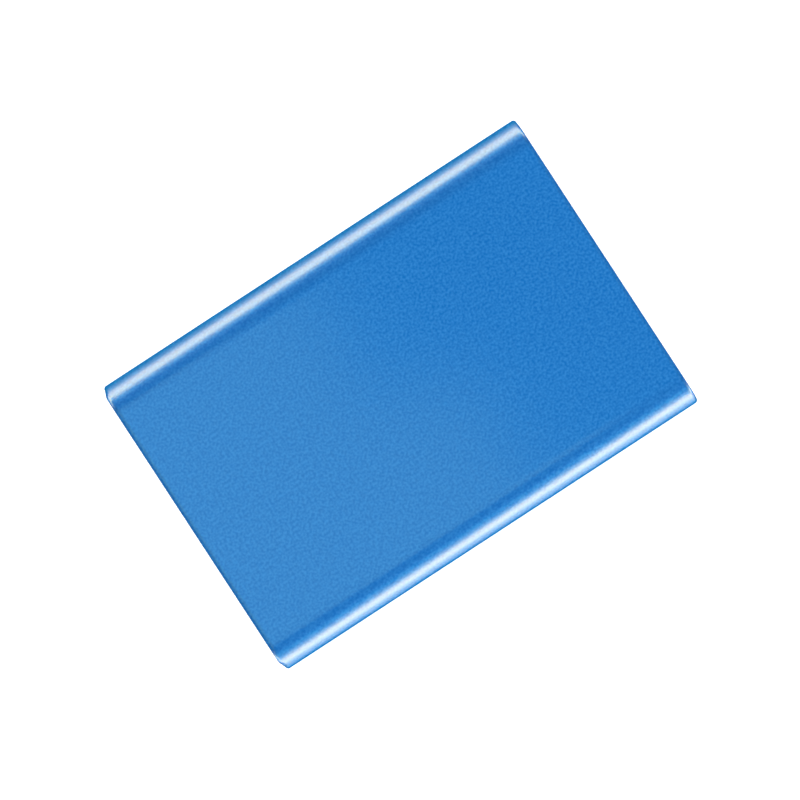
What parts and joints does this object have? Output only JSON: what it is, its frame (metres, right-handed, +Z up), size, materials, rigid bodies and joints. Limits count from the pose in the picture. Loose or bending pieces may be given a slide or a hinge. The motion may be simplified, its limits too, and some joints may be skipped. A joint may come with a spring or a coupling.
{
  "type": "portable external hard drive",
  "caption": "Pocket hard drive: a flat extruded aluminium sleeve with rounded sides and black end caps, a cable socket in one end and a spinning disc drive inside.",
  "frame": {"origin": "middle of the flat underside", "axes": "+X along the sleeve towards the socket end, +Y across it, +Z up"},
  "size_m": [0.113, 0.077, 0.013],
  "materials": {
    "blue_aluminium": "bead-blasted and anodised blue",
    "cap_plastic": "black, fine spark texture",
    "clear_plastic": "clear, polished",
    "foam": "grey closed-cell foam",
    "circuit_board": "green solder mask",
    "screw_steel": "plated",
    "socket_steel": "tin-plated sheet",
    "connector_plastic": "black, moulded",
    "contact_gold": "gold-plated",
    "chip_black": "moulded package",
    "crystal_can": "nickel-plated can",
    "capacitor_ceramic": "tan ceramic, tinned ends",
    "lamp_white": "white lamp body",
    "cast_aluminium": "cast and machined",
    "cover_steel": "stamped stainless",
    "gasket_rubber": "black, moulded",
    "filter_felt": "white felt",
    "bearing_steel": "ground",
    "stator_steel": "laminated",
    "copper_wire": "enamelled winding",
    "turned_aluminium": "turned",
    "magnet_nickel": "nickel-plated",
    "disc_mirror": "polished disc",
    "arm_aluminium": "machined",
    "spring_steel": "etched sheet",
    "slider_ceramic": "dark, lapped",
    "yoke_steel": "nickel-plated plate",
    "ramp_plastic": "ivory, moulded",
    "flex_film": "amber film"
  },
  "bodies": {
    "enclosure": {"sleeve": "blue_aluminium", "front_end_cap": "cap_plastic", "rear_end_cap": "cap_plastic", "light_pipe": "clear_plastic", "lower_foam_pad": "foam", "upper_foam_pad": "foam", "bridge_board": "circuit_board", "board_screws": "screw_steel", "socket_shell": "socket_steel", "socket_insulator": "connector_plastic", "socket_contacts": "contact_gold", "drive_receptacle": "connector_plastic", "receptacle_contacts": "contact_gold", "bridge_chip": "chip_black", "crystal": "crystal_can", "board_capacitors": "capacitor_ceramic", "status_lamp": "lamp_white", "drive_base": "cast_aluminium", "drive_cover": "cover_steel", "cover_gasket": "gasket_rubber", "cover_screws": "screw_steel", "recirculation_filter": "filter_felt", "spindle_bearing": "bearing_steel", "stator_core": "stator_steel", "stator_coils": "copper_wire", "pivot_shaft": "bearing_steel", "pivot_screw": "screw_steel", "lower_yoke": "yoke_steel", "upper_yoke": "yoke_steel", "voice_coil_magnet": "magnet_nickel", "crash_stops": "gasket_rubber", "parking_ramp": "ramp_plastic", "flex_cable": "flex_film", "flex_bracket": "connector_plastic", "drive_board": "circuit_board", "drive_board_screws": "screw_steel", "controller_chip": "chip_black", "memory_chip": "chip_black", "motor_driver_chip": "chip_black", "drive_plug": "connector_plastic", "plug_contacts": "contact_gold"},
    "disc_pack": {"spindle_hub": "turned_aluminium", "rotor_magnet": "magnet_nickel", "lower_platter": "disc_mirror", "disc_spacer": "turned_aluminium", "upper_platter": "disc_mirror", "disc_clamp": "turned_aluminium", "clamp_screw": "screw_steel"},
    "head_stack": {"arm_block": "arm_aluminium", "voice_coil": "copper_wire", "head_suspensions": "spring_steel", "head_sliders": "slider_ceramic", "pivot_bearing": "bearing_steel"}
  },
  "joints": [
    {"name": "platter_spin", "type": "hinge", "parent": "enclosure", "child": "disc_pack", "pos_m": [-0.01912, 0, 0.0068], "axis": [0, 0, 1], "continuous": true},
    {"name": "arm_swing", "type": "hinge", "parent": "enclosure", "child": "head_stack", "pos_m": [0.02128, 0.01471, 0.0068], "axis": [0, 0, -1], "range_deg": [0, 30], "deforming": ["flex_cable"]}
  ]
}
